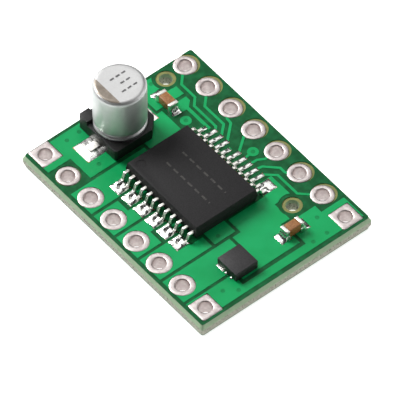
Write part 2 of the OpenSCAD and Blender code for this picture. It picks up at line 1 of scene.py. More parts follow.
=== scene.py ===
"""Looks of a small circuit board that carries a dual H-bridge stepper driver.

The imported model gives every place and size. Plain surfaces stay the CAD nodes with a better
material; the plated holes, leads, solder, can and small parts get rounded meshes of their own.
Lengths are metres in the model's frame: +X along the board, +Y towards the logic holes, +Z up.
"""

import json
import math

import bmesh
import bpy
from mathutils import Matrix, Vector, noise

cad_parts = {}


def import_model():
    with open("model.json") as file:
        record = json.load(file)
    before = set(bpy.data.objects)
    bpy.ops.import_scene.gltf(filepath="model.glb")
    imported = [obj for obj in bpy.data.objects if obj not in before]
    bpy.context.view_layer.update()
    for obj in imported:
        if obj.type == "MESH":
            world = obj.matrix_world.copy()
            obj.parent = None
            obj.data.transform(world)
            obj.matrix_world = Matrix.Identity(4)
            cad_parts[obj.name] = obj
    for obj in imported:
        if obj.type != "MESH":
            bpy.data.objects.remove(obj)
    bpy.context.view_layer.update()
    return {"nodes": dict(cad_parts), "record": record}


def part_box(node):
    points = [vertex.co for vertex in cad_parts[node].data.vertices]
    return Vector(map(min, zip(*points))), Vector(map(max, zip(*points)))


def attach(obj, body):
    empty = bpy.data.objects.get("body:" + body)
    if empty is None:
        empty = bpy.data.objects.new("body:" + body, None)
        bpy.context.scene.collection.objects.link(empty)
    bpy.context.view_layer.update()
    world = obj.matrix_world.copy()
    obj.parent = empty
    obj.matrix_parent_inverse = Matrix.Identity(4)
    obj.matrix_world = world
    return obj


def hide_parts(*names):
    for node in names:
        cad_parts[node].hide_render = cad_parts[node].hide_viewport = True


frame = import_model()
nodes = frame["nodes"]
MM = 0.001

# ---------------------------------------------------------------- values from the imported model
mounts = {m["name"]: m for m in frame["record"]["mounts"]}
first_hole = Vector(mounts["header_hole_power_left"]["pos_m"])
last_hole = Vector(mounts["header_hole_logic_right"]["pos_m"])
hole_r = mounts["header_hole_power_left"]["dims"]["r_mm"] * MM

core_lo, core_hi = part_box("laminate")
face_lo, face_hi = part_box("solder_mask_top")
mask_face = face_hi.z
rim_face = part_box("header_holes_logic")[1].z
chip_lo, chip_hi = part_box("chip_body")
can_lo, can_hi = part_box("can_shell")
can_mid = (can_lo + can_hi) / 2
can_r = (can_hi.x - can_lo.x) / 2
score_share = 0.333  # depth of each drawn score line, as a share of the core's thickness
web_top_share = 0.667  # height of the snapped web's top, as a share of the core's thickness


# ---------------------------------------------------------------- materials
def srgb(r, g, b):
    """A display colour, 0 to 255 for each channel, as a linear RGBA value."""

    def linear(c):
        c /= 255
        return c / 12.92 if c <= 0.04045 else ((c + 0.055) / 1.055) ** 2.4

    return (linear(r), linear(g), linear(b), 1.0)


class Finish:
    """A Principled material, with helpers that lay procedural detail over it."""

    def __init__(self, name, colour, roughness, metallic=0.0, **sockets):
        self.material = bpy.data.materials.new(name)
        self.material.use_nodes = True
        self.tree = self.material.node_tree
        self.shader = self.tree.nodes["Principled BSDF"]
        self.put("Base Color", colour)
        self.put("Roughness", roughness)
        self.put("Metallic", metallic)
        for socket, value in sockets.items():
            self.put(socket.replace("_", " "), value)
        coords = self.add("ShaderNodeTexCoord")
        scale = self.add("ShaderNodeVectorMath", operation="SCALE")
        scale.inputs["Scale"].default_value = 1 / MM
        self.wire(coords.outputs["Object"], scale.inputs[0])
        self.millimetres = scale.outputs[0]
        self.normal = None

    def add(self, kind, **fields):
        node = self.tree.nodes.new(kind)
        for field, value in fields.items():
            setattr(node, field, value)
        return node

    def wire(self, source, target):
        self.tree.links.new(source, target)

    def put(self, socket, value):
        """Sets a shader socket, to a plain value or to another node's output."""
        if isinstance(value, bpy.types.NodeSocket):
            self.wire(value, self.shader.inputs[socket])
        else:
            self.shader.inputs[socket].default_value = value

    def stretched(self, x, y, z):
        """Millimetre coordinates scaled by axis, for grain that runs one way."""
        grain = self.add("ShaderNodeVectorMath", operation="MULTIPLY")
        grain.inputs[1].default_value = (x, y, z)
        self.wire(self.millimetres, grain.inputs[0])
        return grain.outputs[0]

    def noise(self, scale, detail=3.0, where=None):
        """Noise with this many features per millimetre."""
        texture = self.add("ShaderNodeTexNoise")
        texture.inputs["Scale"].default_value = scale
        texture.inputs["Detail"].default_value = detail
        self.wire(where or self.millimetres, texture.inputs["Vector"])
        return texture.outputs["Fac"]

    def axis(self, name):
        split = self.add("ShaderNodeSeparateXYZ")
        self.wire(self.millimetres, split.inputs[0])
        return split.outputs[name]

    def facing(self, name):
        """How far the surface faces along an axis."""
        geometry = self.add("ShaderNodeNewGeometry")
        split = self.add("ShaderNodeSeparateXYZ")
        self.wire(geometry.outputs["Normal"], split.inputs[0])
        return split.outputs[name]

    def span(self, value, low, high, to_low=0.0, to_high=1.0):
        mapping = self.add("ShaderNodeMapRange", interpolation_type="SMOOTHSTEP")
        mapping.inputs["From Min"].default_value = low
        mapping.inputs["From Max"].default_value = high
        mapping.inputs["To Min"].default_value = to_low
        mapping.inputs["To Max"].default_value = to_high
        self.wire(value, mapping.inputs["Value"])
        return mapping.outputs[0]

    def maths(self, operation, a, b):
        node = self.add("ShaderNodeMath", operation=operation)
        for value, socket in ((a, node.inputs[0]), (b, node.inputs[1])):
            if isinstance(value, bpy.types.NodeSocket):
                self.wire(value, socket)
            else:
                socket.default_value = value
        return node.outputs[0]

    def blend(self, factor, a, b):
        """Colour a where factor is 0, colour b where it is 1."""
        mix = self.add("ShaderNodeMix", data_type="RGBA")
        self.wire(factor, mix.inputs["Factor"])
        for value, socket in ((a, mix.inputs[6]), (b, mix.inputs[7])):
            if isinstance(value, bpy.types.NodeSocket):
                self.wire(value, socket)
            else:
                socket.default_value = value
        return mix.outputs[2]

    def bump(self, height, depth):
        """Raises the surface by up to depth millimetres where height is 1."""
        node = self.add("ShaderNodeBump")
        node.inputs["Distance"].default_value = depth * MM
        self.wire(height, node.inputs["Height"])
        if self.normal:
            self.wire(self.normal, node.inputs["Normal"])
        self.normal = node.outputs[0]
        self.put("Normal", self.normal)

    def mottle(self, a, b, scale, rough, depth):
        """Two tones mixed by noise, with roughness and a fine bump that follow other noise."""
        self.put("Base Color", self.blend(self.span(self.noise(scale), 0.35, 0.65), a, b))
        self.put("Roughness", self.span(self.noise(scale * 2.3), 0.3, 0.7, *rough))
        self.bump(self.noise(scale * 4), depth)
        return self


def mask_finish(name, high, low):
    """Green lacquer: bright where it lies on copper, at height high, and dark on bare core."""
    finish = Finish(name, srgb(30, 150, 90), 0.35, Specular_IOR_Level=0.16)
    on_copper = finish.span(finish.axis("Z"), low / MM, high / MM)
    cloud = finish.span(finish.noise(0.5, 4), 0.3, 0.7)
    bright = finish.blend(cloud, srgb(14, 166, 92), srgb(22, 176, 102))
    weave = finish.span(finish.noise(1.6, 5), 0.35, 0.7)
    dark = finish.blend(weave, srgb(4, 84, 42), srgb(16, 106, 58))
    finish.put("Base Color", finish.blend(on_copper, dark, bright))
    finish.put("Roughness", finish.span(finish.noise(3.0), 0.3, 0.7, 0.28, 0.42))
    finish.bump(finish.noise(5.0), 0.004)
    finish.bump(finish.noise(0.8), 0.012)
    return finish.material


def laminate_finish():
    """Glass epoxy: olive faces, greenish score lines, and a rough grey web where it snapped."""
    finish = Finish("glass_epoxy", srgb(140, 150, 110), 0.7)
    fibre = finish.noise(1.0, 5, finish.stretched(3.0, 3.0, 14.0))
    speck = finish.span(finish.noise(9.0, 5), 0.36, 0.5)
    height = finish.axis("Z")
    waver = finish.maths("ADD", height, finish.span(finish.noise(1.3), 0.2, 0.8, -0.06, 0.06))
    upper = finish.blend(fibre, srgb(134, 166, 132), srgb(178, 200, 164))
    lower = finish.blend(fibre, srgb(140, 144, 126), srgb(204, 204, 188))
    lower = finish.blend(speck, srgb(92, 94, 78), lower)
    score = core_lo.z / MM + (core_hi.z - core_lo.z) / MM * web_top_share
    edge = finish.blend(finish.span(waver, score - 0.06, score + 0.04), lower, upper)
    face = finish.blend(finish.noise(2.0, 4), srgb(118, 116, 64), srgb(158, 162, 96))
    flat = finish.span(finish.maths("ABSOLUTE", finish.facing("Z"), 0.0), 0.6, 0.9)
    finish.put("Base Color", finish.blend(flat, edge, face))
    finish.put("Roughness", finish.span(fibre, 0.3, 0.7, 0.55, 0.8))
    finish.bump(fibre, 0.03)
    finish.bump(finish.noise(12.0, 4), 0.012)
    return finish.material


def chip_finish():
    """Matt black moulding with a fine grain, and two rows of faint plain laser dashes."""
    finish = Finish("chip_moulding", srgb(60, 58, 58), 0.6, Specular_IOR_Level=0.2)
    grain = finish.noise(14.0, 4)
    tone = finish.blend(finish.span(grain, 0.35, 0.65), srgb(38, 37, 38), srgb(49, 48, 49))
    length, width = (chip_hi.x - chip_lo.x) / MM, (chip_hi.y - chip_lo.y) / MM
    left, middle = chip_lo.x / MM, (chip_lo.y + chip_hi.y) / 2 / MM
    dash_pitch = 0.78
    first_mark, last_mark, fade = 0.2, 0.84, 0.02
    phase = finish.maths("FRACT", finish.maths("DIVIDE", finish.axis("X"), dash_pitch), 0.0)
    dash = finish.span(finish.maths("ABSOLUTE", finish.maths("SUBTRACT", phase, 0.5), 0.0), 0.34, 0.28)
    inside = finish.maths(
        "MULTIPLY",
        finish.span(finish.axis("X"), left + first_mark * length, left + first_mark * length + fade),
        finish.span(finish.axis("X"), left + last_mark * length + fade, left + last_mark * length),
    )
    rows = None
    for row in (0.16, -0.1):
        across = finish.maths("SUBTRACT", finish.axis("Y"), middle + row * width)
        off = finish.maths("ABSOLUTE", across, 0.0)
        band = finish.span(off, 0.1, 0.05)
        rows = band if rows is None else finish.maths("MAXIMUM", rows, band)
    mark = finish.maths("MULTIPLY", finish.maths("MULTIPLY", dash, rows), inside)
    mark = finish.maths("MULTIPLY", mark, finish.span(finish.facing("Z"), 0.9, 0.99))
    mark = finish.maths("MULTIPLY", mark, finish.span(finish.noise(9.0), 0.25, 0.6, 0.2, 0.6))
    finish.put("Base Color", finish.blend(mark, tone, srgb(100, 98, 95)))
    finish.put("Roughness", finish.span(grain, 0.3, 0.7, 0.5, 0.68))
    finish.bump(grain, 0.006)
    return finish.material


def can_finish():
    """Drawn aluminium: fine lines up the side, and the up-facing top painted darker than the side as
    painted shade.
    """
    finish = Finish("can_aluminium", srgb(225, 227, 226), 0.4, 1.0)
    lines = finish.noise(1.0, 4, finish.stretched(9.0, 9.0, 1.5))
    cloud = finish.span(finish.noise(1.2, 4), 0.3, 0.7)
    side = finish.blend(cloud, srgb(206, 210, 208), srgb(217, 219, 218))
    # Painted shade: the up-facing top gets a darker copy of the aluminium tone than the side, chosen by the
    # surface's facing.
    top = finish.blend(finish.noise(7.0, 4), srgb(196, 196, 196), srgb(207, 207, 206))
    up = finish.span(finish.facing("Z"), 0.2, 0.8)
    finish.put("Base Color", finish.blend(up, side, top))
    finish.put("Roughness", finish.span(lines, 0.3, 0.7, 0.46, 0.54))
    finish.bump(lines, 0.0012)
    finish.bump(finish.noise(20.0, 3), 0.0015)
    return finish.material


def ink_finish():
    """Printed ink on satin metal: warm grey in the minus segment, neutral grey in the dashes."""
    finish = Finish("grey_ink", srgb(150, 142, 132), 0.36, 0.6)
    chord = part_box("can_mark")[1].y / MM
    cloud = finish.span(finish.noise(2.5), 0.3, 0.7)
    segment = finish.blend(cloud, srgb(132, 122, 111), srgb(152, 143, 132))
    dashes = finish.blend(cloud, srgb(104, 104, 105), srgb(118, 118, 119))
    beyond = finish.span(finish.axis("Y"), chord + 0.01, chord + 0.05)
    finish.put("Base Color", finish.blend(beyond, segment, dashes))
    finish.put("Roughness", finish.span(finish.noise(6.0), 0.3, 0.7, 0.32, 0.42))
    finish.bump(finish.noise(20.0), 0.001)
    return finish.material


def tin_finish(name, a, b, rough, depth):
    finish = Finish(name, a, 0.35, 1.0)
    finish.mottle(a, b, 3.0, rough, depth * 0.4)
    finish.bump(finish.noise(1.4, 2), depth)
    return finish.material


def plain(name, a, b, scale, rough, depth, metallic=0.0):
    return Finish(name, a, 0.5, metallic).mottle(a, b, scale, rough, depth).material


bare_top = core_hi.z + 0.058 * MM
copper_under = 0.023 * MM
bare_under = 0.042 * MM
finishes = {
    "mask_top": mask_finish("solder_mask_green", mask_face - 0.003 * MM, bare_top),
    "mask_bottom": mask_finish("solder_mask_green_under", copper_under, bare_under),
    "laminate": laminate_finish(),
    "tin": tin_finish("tin_rims", srgb(200, 189, 187), srgb(216, 208, 205), (0.36, 0.5), 0.02),
    "solder": tin_finish("bright_solder", srgb(232, 232, 227), srgb(248, 248, 244), (0.16, 0.3), 0.012),
    "lead": tin_finish("lead_tin", srgb(226, 224, 216), srgb(242, 240, 234), (0.24, 0.38), 0.006),
    "chip": chip_finish(),
    "can": can_finish(),
    "fet": plain("transistor_moulding", srgb(34, 32, 34), srgb(46, 44, 46), 12.0, (0.4, 0.6), 0.005),
    "base": plain("base_black", srgb(18, 18, 18), srgb(28, 27, 27), 8.0, (0.4, 0.55), 0.006),
    "ink": ink_finish(),
    "ceramic": plain("brown_ceramic", srgb(146, 96, 50), srgb(172, 118, 68), 8.0, (0.3, 0.5), 0.004),
    "copper": plain("copper_foil", srgb(184, 110, 72), srgb(205, 132, 92), 6.0, (0.3, 0.45), 0.003, 1.0),
    "glue": plain("silver_glue", srgb(170, 170, 168), srgb(196, 196, 194), 9.0, (0.5, 0.7), 0.004),
    "silicon": plain("silicon_die", srgb(70, 74, 84), srgb(88, 92, 104), 7.0, (0.15, 0.25), 0.001, 0.6),
    "gold": plain("gold_wire", srgb(214, 172, 84), srgb(232, 194, 108), 9.0, (0.2, 0.3), 0.001, 1.0),
    "rubber": plain("seal_rubber", srgb(22, 22, 23), srgb(36, 35, 36), 6.0, (0.6, 0.8), 0.006),
    "winding": plain("foil_and_paper", srgb(170, 152, 118), srgb(196, 180, 146), 5.0, (0.6, 0.8), 0.01),
    "plates": plain("fired_nickel", srgb(140, 136, 130), srgb(164, 160, 152), 9.0, (0.3, 0.45), 0.002, 1.0),
}


def repaint(name, finish):
    """Gives a CAD node its finish and leaves its shape alone."""
    mesh = nodes[name].data
    mesh.materials.clear()
    mesh.materials.append(finishes[finish])


# ---------------------------------------------------------------- mesh helpers
def piece(name, bm, finish, slot, *replaced, sharp=32):
    """Turns a bmesh into a named piece that rides on the body and stands for CAD nodes."""
    bmesh.ops.recalc_face_normals(bm, faces=bm.faces)
    mesh = bpy.data.meshes.new(name)
    bm.to_mesh(mesh)
    bm.free()
    mesh.shade_smooth()
    mesh.set_sharp_from_angle(angle=math.radians(sharp))
    mesh.materials.append(finishes[finish])
    obj = bpy.data.objects.new(name, mesh)
    bpy.context.scene.collection.objects.link(obj)
    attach(obj, "root")
    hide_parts(*replaced)
    return obj


def loft(bm, rings, closed=False):
    """Joins rings of equal length with quads. An open loft gets a cap at each end."""
    loops = [[bm.verts.new(p) for p in ring] for ring in rings]
    pairs = list(zip(loops, loops[1:]))
    if closed:
        pairs.append((loops[-1], loops[0]))
    for a, b in pairs:
        for i in range(len(a)):
            j = (i + 1) % len(a)
            bm.faces.new((a[i], a[j], b[j], b[i]))
    if not closed:
        bm.faces.new(loops[0])
        bm.faces.new(loops[-1])


def circle(centre, radius, z, count):
    turn = 2 * math.pi / count
    return [
        Vector((centre.x + radius * math.cos(i * turn), centre.y + radius * math.sin(i * turn), z))
        for i in range(count)
    ]


def cad_copy(name):
    """The CAD node's mesh with its seams joined and its flat faces merged."""
    bm = bmesh.new()
    bm.from_mesh(nodes[name].data)
    bmesh.ops.remove_doubles(bm, verts=bm.verts, dist=0.0002 * MM)
    bmesh.ops.dissolve_limit(bm, angle_limit=math.radians(1), verts=bm.verts, edges=bm.edges)
    return bm


def soften(bm, width, keep=lambda edge: True, corner=30, steps=3):
    """Rounds the edges that turn by more than corner degrees and that keep accepts."""
    edges = [
        e
        for e in bm.edges
        if len(e.link_faces) == 2 and e.calc_face_angle() > math.radians(corner) and keep(e)
    ]
    bmesh.ops.bevel(
        bm, geom=edges, offset=width, segments=steps, profile=0.5, affect="EDGES", clamp_overlap=True
    )


def islands(name):
    """The boxes of a CAD node's separate lumps, from left to right."""
    bm = cad_copy(name)
    left, boxes = set(bm.verts), []
    while left:
        lump, edge = set(), [left.pop()]
        while edge:
            v = edge.pop()
            lump.add(v)
            for e in v.link_edges:
                other = e.other_vert(v)
                if other in left:
                    left.remove(other)
                    edge.append(other)
        lo = Vector([min(v.co[k] for v in lump) for k in range(3)])
        hi = Vector([max(v.co[k] for v in lump) for k in range(3)])
        boxes.append((lo, hi))
    bm.free()
    return sorted(boxes, key=lambda b: (round(b[0].x, 6), b[0].y))


def brick(bm, lo, hi, width, steps=3):
    """A block with rounded edges."""
    made = bmesh.ops.create_cube(bm, size=1.0)["verts"]
    size, mid = hi - lo, (lo + hi) / 2
    for v in made:
        v.co = Vector([mid[k] + v.co[k] * size[k] for k in range(3)])
    edges = list({e for v in made for e in v.link_edges})
    bmesh.ops.bevel(bm, geom=edges, offset=width, segments=steps, profile=0.5, affect="EDGES")


# ---------------------------------------------------------------- laminate
def torn_outline(z, grow, depth, count=560):
    """The board's outline at one height: grow outside its faces, then worn inwards by up to depth."""
    lo, hi = face_lo - Vector((grow, grow, 0)), face_hi + Vector((grow, grow, 0))
    width, length = hi.y - lo.y, hi.x - lo.x
    points, step = [], 2 * (width + length) / count
    for i in range(count):
        s = i * step
        if s < length:
            p, inward = Vector((lo.x + s, lo.y, z)), Vector((0, 1, 0))
        elif s < length + width:
            p, inward = Vector((hi.x, lo.y + s - length, z)), Vector((-1, 0, 0))
        elif s < 2 * length + width:
            p, inward = Vector((hi.x - (s - length - width), hi.y, z)), Vector((0, -1, 0))
        else:
            p, inward = Vector((lo.x, hi.y - (s - 2 * length - width), z)), Vector((1, 0, 0))
        tear = noise.fractal(p / (0.35 * MM), 0.8, 2.0, 4) * 0.5 + 0.5
        p += inward * depth * max(0.0, min(1.0, tear))
        points.append(round_corner(p, lo, hi))
    return points


def round_corner(p, lo, hi, radius=0.2 * MM):
    """Pulls a point near a board corner back onto the corner's arc."""
    cx = max(lo.x + radius, min(hi.x - radius, p.x))
    cy = max(lo.y + radius, min(hi.y - radius, p.y))
    out = Vector((p.x - cx, p.y - cy, 0))
    if abs(p.x - cx) > 0 and abs(p.y - cy) > 0 and out.length > radius:
        out *= radius / out.length
        return Vector((cx + out.x, cy + out.y, p.z))
    return p


def drilled_holes():
    """Centre and radius of every hole in the CAD laminate, from the rims of its top face."""
    bm = cad_copy("laminate")
    level = [e for e in bm.edges if all(abs(v.co.z - core_hi.z) < 0.001 * MM for v in e.verts)]
    links = {}
    for e in level:
        if e.calc_face_angle(0) > 0.5:
            for v in e.verts:
                links.setdefault(v, []).append(e)
    found, seen = [], set()
    for start in links:
        if start in seen:
            continue
        ring, queue = [], [start]
        while queue:
            v = queue.pop()
            if v in seen:
                continue
            seen.add(v)
            ring.append(v.co.copy())
            queue += [e.other_vert(v) for e in links[v]]
        lo = Vector([min(p[k] for p in ring) for k in range(3)])
        hi = Vector([max(p[k] for p in ring) for k in range(3)])
        if hi.x - lo.x < 3 * MM:
            found.append(((lo + hi) / 2, (hi.x - lo.x) / 2))
    bm.free()
    return found


def laminate():
    """Core between its faces: a smooth score line at each face, and a torn web where it snapped."""
    bm = bmesh.new()
    web = core_hi.x - face_hi.x
    same_level = 1e-7
    levels = [0, 0.12, 0.24, score_share, 0.4, 0.46, 0.52, 0.58, 0.63, web_top_share, 0.76, 0.88, 1]
    rings = []
    for t in levels:
        grow = web * min(1.0, 3 * t, 3 * (1 - t))
        tear = 0.09 if 0.3 < t < 0.65 else 0.03 if 0.25 < t < 0.7 else 0.006
        rings.append(torn_outline(core_lo.z + t * (core_hi.z - core_lo.z), grow, tear * MM))
    loops = [[bm.verts.new(p) for p in ring] for ring in rings]
    for centre, radius in drilled_holes():
        count = 48 if radius > 0.3 * MM else 24
        walls = [circle(centre, radius, z, count) for z in (core_lo.z, core_hi.z)]
        low, high = [[bm.verts.new(p) for p in ring] for ring in walls]
        for i in range(count):
            j = (i + 1) % count
            bm.faces.new((low[i], high[i], high[j], low[j]))
    for a, b in zip(loops, loops[1:]):
        for i in range(len(a)):
            j = (i + 1) % len(a)
            bm.faces.new((a[i], a[j], b[j], b[i]))
    for z in (core_lo.z, core_hi.z):
        open_edges = [e for e in bm.edges if e.is_boundary]
        rim = [e for e in open_edges if all(abs(v.co.z - z) < same_level for v in e.verts)]
        bmesh.ops.triangle_fill(bm, edges=rim, use_beauty=True, normal=(0, 0, 1))
    return piece("board_core", bm, "laminate", "laminate", "laminate", sharp=50)


# ---------------------------------------------------------------- plated holes
def rim_point(centre, angle, share, outer, square, z):
    """A point between the hole's edge (share 0) and the rim's outer edge (share 1)."""
    direction = Vector((math.cos(angle), math.sin(angle), 0))
    reach = outer
    if square:
        power = 14  # a squircle this strong is a square with slightly soft corners
        reach = outer / (abs(direction.x) ** power + abs(direction.y) ** power) ** (1 / power)
    return centre + direction * (hole_r + (reach - hole_r) * share) + Vector((0, 0, z))


def plated_hole(bm, centre, outer, square):
    """Plating from face to face: a rolled edge at the hole, a gently domed rim, a thin wall."""
    count, wall = 96, 0.05 * MM
    face, step = rim_face, rim_face - core_hi.z
    # share of the way out, drop below the face in share of the rim's thickness
    rim = [(0.0, 2.2), (0.0, 1.1), (0.015, 0.62), (0.05, 0.3), (0.12, 0.1), (0.24, 0.02), (0.42, 0.0),
           (0.6, 0.02), (0.76, 0.08), (0.88, 0.18), (0.96, 0.34), (1.0, 0.6), (1.0, 1.0)]
    wall_share = wall / (outer - hole_r)
    turn = 2 * math.pi / count
    flat = Vector((centre.x, centre.y, 0))
    rings = []
    for share, drop in rim + [(wall_share, 1.0)]:
        ring = []
        for i in range(count):
            corners = square and share > wall_share
            p = rim_point(flat, i * turn, share, outer, corners, face - drop * step)
            if 0.1 < share < 0.95:
                p.z -= 0.007 * MM * (0.5 + 0.5 * noise.noise(p / (0.6 * MM)))
            ring.append(p)
        rings.append(ring)
    under = [[Vector((p.x, p.y, face - p.z)) for p in ring] for ring in reversed(rings)]
    loft(bm, rings + under, closed=True)


def plated_holes():
    for name in ("header_holes_logic", "header_holes_power", "header_holes_ground"):
        bm = bmesh.new()
        for lo, hi in islands(name):
            plated_hole(bm, (lo + hi) / 2, (hi.x - lo.x) / 2, name.endswith("ground"))
        piece("rims_" + name.rsplit("_", 1)[1], bm, "tin", "tin_plate", name, sharp=60)


# ---------------------------------------------------------------- leads
def filleted(points, radius, steps=5):
    """A path in the plane with each inner corner turned into an arc."""
    path = [points[0]]
    for before, corner, after in zip(points, points[1:], points[2:]):
        a, b = (before - corner).normalized(), (after - corner).normalized()
        half = a.angle(b) / 2
        cut = radius / math.tan(half)
        start, end = corner + a * cut, corner + b * cut
        for k in range(steps + 1):
            t = k / steps
            path.append(start * (1 - t) ** 2 + corner * 2 * t * (1 - t) + end * t * t)
    return path + [points[-1]]


def strip(bm, path, width, thickness, soft):
    """Sweeps a rounded flat section along a path that stays in a plane of constant x."""
    corner = [(math.cos(a), math.sin(a)) for a in (math.pi * k / 8 for k in range(5))]
    section = []
    for sx, sz in ((1, 1), (-1, 1), (-1, -1), (1, -1)):
        turn = corner if sx * sz > 0 else corner[::-1]
        for c, s in turn:
            x = sx * (width / 2 - soft + soft * c)
            section.append((x, sz * (thickness / 2 - soft + soft * s)))
    rings = []
    for i, p in enumerate(path):
        along = (path[min(i + 1, len(path) - 1)] - path[max(i - 1, 0)]).normalized()
        up = Vector((1, 0, 0)).cross(along)
        end = i in (0, len(path) - 1)
        inset = soft * 0.7 if end else 0.0
        narrow, thin = 1 - inset / width * 2, 1 - inset / thickness * 2
        rings.append([p + Vector((x, 0, 0)) * narrow + up * z * thin for x, z in section])
    loft(bm, rings)


lead_pitch = 0.65 * MM
lead_count = 12
lead_lo, lead_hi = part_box("chip_leads_logic")
lead_w = lead_hi.x - lead_lo.x - (lead_count - 1) * lead_pitch
lead_t = 0.15 * MM
chip_mid = (chip_lo + chip_hi) / 2
lead_xs = [lead_lo.x + lead_w / 2 + i * lead_pitch for i in range(lead_count)]


def chip_leads():
    """Gull-wing leads: out of the body's side, over a rounded shoulder, down, and flat on the pad."""
    for side, name in ((1, "chip_leads_logic"), (-1, "chip_leads_power")):
        lo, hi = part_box(name)
        tip = (hi.y if side > 0 else lo.y) - chip_mid.y
        inner = (lo.y if side > 0 else hi.y) - chip_mid.y
        upper, lower = hi.z - lead_t / 2, lo.z + lead_t / 2
        shoulder = side * ((chip_hi.y - chip_lo.y) / 2 + 0.37 * MM)
        heel = side * (abs(tip) - 0.47 * MM)
        bm = bmesh.new()
        for k, x in enumerate(lead_xs):
            sway = 0.006 * MM * noise.noise(Vector((k * 3.1, side * 5.0, 0.0)))
            corners = [Vector((x + sway, chip_mid.y + y, z))
                       for y, z in ((inner, upper), (shoulder, upper), (heel, lower), (tip, lower))]
            strip(bm, filleted(corners, 0.11 * MM), lead_w, lead_t, 0.025 * MM)
        piece("leads_" + name.rsplit("_", 1)[1], bm, "lead", "tin_plate", name, sharp=50)


# ---------------------------------------------------------------- solder
def puddle(bm, lo, hi, z, feet, dome=0.05, climb=0.1, reach=0.09, grid=0.045, dip=0.0):
    """Solder on one pad: a domed sheet whose surface climbs the sides of the feet that stand in it.
    A foot is a box (low corner, high corner). The pool sinks by dip at its middle, where two feet draw
    the solder apart. Dome, climb, reach, grid and dip are millimetres."""
    mid, half = (lo + hi) / 2, (hi - lo) / 2
    nx, ny = [max(8, round(2 * half[k] / (grid * MM))) for k in (0, 1)]
    bow = 0.22

    def height(x, y, u, v):
        rise = 0.25 * dome + 0.75 * dome * (1 - abs(u) ** 5) * (1 - abs(v) ** 5)
        rise += 0.3 * dome * noise.noise(Vector((x, y, 0)) / (0.4 * MM))
        for a, b in feet:
            gap = Vector((max(a.x - x, 0, x - b.x), max(a.y - y, 0, y - b.y))).length / MM
            edge = (1 - abs(u) ** 8) * (1 - abs(v) ** 8)
            rise += climb * math.exp(-gap / reach) * edge
        hollow = math.hypot(x - mid.x, (y - mid.y) / 1.4) / MM
        rise -= dip * math.exp(-((hollow / 0.13) ** 2))
        return z + rise * MM

    rows = []
    for j in range(ny + 1):
        v = -1 + 2 * j / ny
        row = []
        for i in range(nx + 1):
            u = -1 + 2 * i / nx
            x = mid.x + half.x * u * math.sqrt(1 - bow * v * v / 2)
            y = mid.y + half.y * v * math.sqrt(1 - bow * u * u / 2)
            row.append(bm.verts.new((x, y, height(x, y, u, v))))
        rows.append(row)
    for a, b in zip(rows, rows[1:]):
        for i in range(nx):
            bm.faces.new((a[i], a[i + 1], b[i + 1], b[i]))
    rim = rows[0] + [r[-1] for r in rows[1:]] + rows[-1][-2::-1] + [r[0] for r in rows[-2:0:-1]]
    foot = [bm.verts.new((v.co.x, v.co.y, z)) for v in rim]
    for i in range(len(rim)):
        j = (i + 1) % len(rim)
        bm.faces.new((rim[j], rim[i], foot[i], foot[j]))
    bm.faces.new(foot)


def lead_feet(side):
    """The boxes of the flat ends of the chip's leads on one side."""
    lo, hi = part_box("chip_leads_logic" if side > 0 else "chip_leads_power")
    tip = hi.y if side > 0 else lo.y
    ends = sorted((tip, tip - side * 0.5 * MM))
    half = lead_w / 2
    return [(Vector((x - half, ends[0], 0)), Vector((x + half, ends[1], 0))) for x in lead_xs]


def solder():
    copper_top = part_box("chip_solder_logic")[0].z
    can_feet = [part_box("can_terminal_minus"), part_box("can_terminal_plus")]
    shared_pads = dict(dome=0.1, climb=0.12, reach=0.1, grid=0.035, dip=0.085)
    ceramic_pads = dict(dome=0.05, climb=0.42, reach=0.12)
    jobs = {
        "chip_solder_logic": (lead_feet(1), dict(dome=0.07, climb=0.11)),
        "chip_solder_power": (lead_feet(-1), shared_pads),
        "can_solder": (can_feet, dict(dome=0.06, climb=0.03)),
        "ceramic_left_solder": (islands("ceramic_left_ends"), ceramic_pads),
        "ceramic_right_solder": (islands("ceramic_right_ends"), ceramic_pads),
        "transistor_solder": (islands("transistor_lands"), dict(dome=0.03, climb=0.06)),
    }
    margin = 0.2 * MM

    def meets(foot, lo, hi):
        return all(foot[0][k] < hi[k] + margin and foot[1][k] > lo[k] - margin for k in (0, 1))

    for name, (feet, look) in jobs.items():
        bm = bmesh.new()
        for lo, hi in islands(name):
            near = [f for f in feet if meets(f, lo, hi)]
            puddle(bm, lo, hi, copper_top, near, **look)
        piece("joint_" + name.replace("_solder", ""), bm, "solder", "solder", name, sharp=60)


# ---------------------------------------------------------------- chip body
def chip_body():
    """The moulding with the edges of its top rounded; the pockets inside stay."""
    bm = cad_copy("chip_body")

    def at_top(edge):
        a, b = (v.co for v in edge.verts)
        level = all(abs(p.z - chip_hi.z) < 0.005 * MM for p in (a, b))
        return level and (a - b).length > 0.03 * MM

    soften(bm, 0.06 * MM, at_top, corner=20)
    return piece("chip_moulding", bm, "chip", "moulding", "chip_body", sharp=28)


# ---------------------------------------------------------------- can capacitor
shoulder_r = 0.34 * MM
can_wall = 0.15 * MM


def can_profile():
    """Radius and height up the outside of the can, from the rolled foot to the rounded top."""
    foot, top, flat = can_lo.z, can_hi.z, can_r - shoulder_r
    groove, groove_span, groove_depth = foot + 0.75 * MM, 0.4 * MM, 0.15 * MM
    outline = [(can_r - 0.12 * MM, foot), (can_r - 0.03 * MM, foot + 0.03 * MM), (can_r, foot + 0.12 * MM)]
    outline.append((can_r, groove - 0.3 * MM))
    steps = 12
    for k in range(steps + 1):
        t = k / steps
        dip = math.sin(math.pi * t) ** 1.5
        outline.append((can_r - groove_depth * dip, groove + (t - 0.5) * groove_span))
    outline.append((can_r, groove + 0.36 * MM))
    outline.append((can_r, top - shoulder_r - 0.4 * MM))
    steps = 10
    for k in range(steps + 1):
        a = math.pi / 2 * k / steps
        outline.append((flat + shoulder_r * math.cos(a), top - shoulder_r + shoulder_r * math.sin(a)))
    outline += [(flat * s, top - 0.012 * MM * (1 - s * s)) for s in (0.85, 0.6, 0.3, 0.02)]
    return outline


